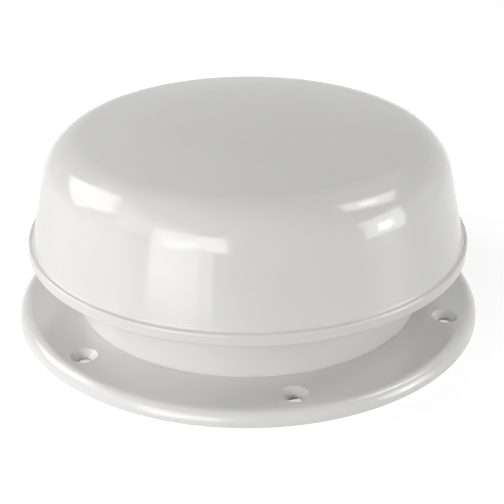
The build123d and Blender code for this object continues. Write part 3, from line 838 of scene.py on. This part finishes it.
def studio_world():
    """White to the camera and to reflections, a plain soft grey to everything else."""
    world = bpy.data.worlds.new("studio")
    bpy.context.scene.world = world
    world.use_nodes = True
    tree = world.node_tree
    tree.nodes.clear()
    seen = seen_directly(tree)
    soft = tree.nodes.new("ShaderNodeBackground")
    soft.inputs["Color"].default_value = WHITE
    soft.inputs["Strength"].default_value = WORLD_LEVEL
    white = tree.nodes.new("ShaderNodeBackground")
    white.inputs["Color"].default_value = WHITE
    white.inputs["Strength"].default_value = 1.0
    mixed = tree.nodes.new("ShaderNodeMixShader")
    output = tree.nodes.new("ShaderNodeOutputWorld")
    tree.links.new(seen, mixed.inputs[0])
    tree.links.new(soft.outputs[0], mixed.inputs[1])
    tree.links.new(white.outputs[0], mixed.inputs[2])
    tree.links.new(mixed.outputs[0], output.inputs["Surface"])


# Soft boxes: azimuth from the camera towards +X and elevation of the middle in degrees, distance, width and
# height in metres, tilt in degrees, power in watts
SOFT_BOXES = {
    "left_box": (-103.6, 28.2, 1.10, 0.60, 0.630, -37.0, 3.250),
    "window": (-34.3, 12.0, 0.42, 0.18, 0.270, 0.0, 0.478),
    "window_core": (-32.5, 10.7, 1.10, 0.24, 0.370, -54.0, 0.825),
    "window_side": (-17.0, 17.1, 1.10, 0.24, 0.500, 6.0, 1.660),
    "window_low": (-19.4, -1.2, 0.52, 0.06, 0.075, 0.0, 0.028),
    "right_high": (93.7, 47.2, 1.10, 0.49, 0.320, -52.4, 1.850),
    "right_high_core": (92.9, 48.2, 1.10, 0.16, 0.120, -52.6, 0.265),
    "right_low": (74.0, 11.8, 0.90, 0.44, 0.440, -4.0, 2.300),
    "right_core": (74.1, 8.5, 1.10, 0.17, 0.230, -4.6, 0.820),
    "fill_back": (-150.0, 35.0, 1.00, 0.60, 0.500, 0.0, 0.140),
    "fill_front_left": (-55.0, 28.0, 1.20, 0.80, 0.600, 0.0, 1.580),
    "fill_left": (-100.0, 35.0, 1.20, 0.80, 0.600, 0.0, 1.700),
    "fill_left_high": (-120.0, 55.0, 1.20, 0.80, 0.600, 0.0, 0.420),
    "fill_right_high": (130.0, 50.0, 1.20, 0.80, 0.600, 0.0, 0.620),
    "fill_low_right": (105.0, 9.0, 1.20, 0.60, 0.200, 0.0, 0.135),
}
BOX_TARGET = Vector((0.0, 0.0, 0.050))


def aimed(direction, roll):
    """Rotation of a lamp or camera that looks along a direction, rolled by an angle."""
    level = direction.to_track_quat("-Z", "Y").to_matrix()
    return (level @ Matrix.Rotation(roll, 3, "Z")).to_euler()


def soft_box(name, azimuth, elevation, distance, width, height, tilt, power):
    """A rectangular soft box that faces the vent."""
    lamp = bpy.data.lights.new(name, "AREA")
    lamp.shape = "RECTANGLE"
    lamp.size = width
    lamp.size_y = height
    lamp.energy = power
    box = new_object(name, lamp)
    turn, rise = radians(azimuth), radians(elevation)
    away = Vector((sin(turn) * cos(rise), -cos(turn) * cos(rise), sin(rise)))
    box.location = BOX_TARGET + away * distance
    box.rotation_euler = aimed(-away, radians(tilt))
    box.visible_camera = False


def photo_camera():
    """The photograph's camera."""
    data = bpy.data.cameras.new("camera")
    data.sensor_width = SENSOR_WIDTH
    data.lens = FOCAL_PIXELS / IMAGE_PIXELS * SENSOR_WIDTH
    data.shift_x = (IMAGE_PIXELS / 2 - AXIS_PIXEL_X) / IMAGE_PIXELS
    data.shift_y = -(IMAGE_PIXELS / 2 - AXIS_PIXEL_Y) / IMAGE_PIXELS
    data.clip_start = CAMERA_CLIP
    camera = new_object("camera", data)
    back = Vector((0.0, -cos(CAMERA_ELEVATION), sin(CAMERA_ELEVATION)))
    camera.location = CAMERA_TARGET + back * CAMERA_DISTANCE
    camera.rotation_euler = aimed(-back, CAMERA_ROLL)
    bpy.context.scene.camera = camera


pale_floor()
studio_world()
for name, sizes in SOFT_BOXES.items():
    soft_box(name, *sizes)
photo_camera()

bpy.context.scene.view_settings.view_transform = "Standard"
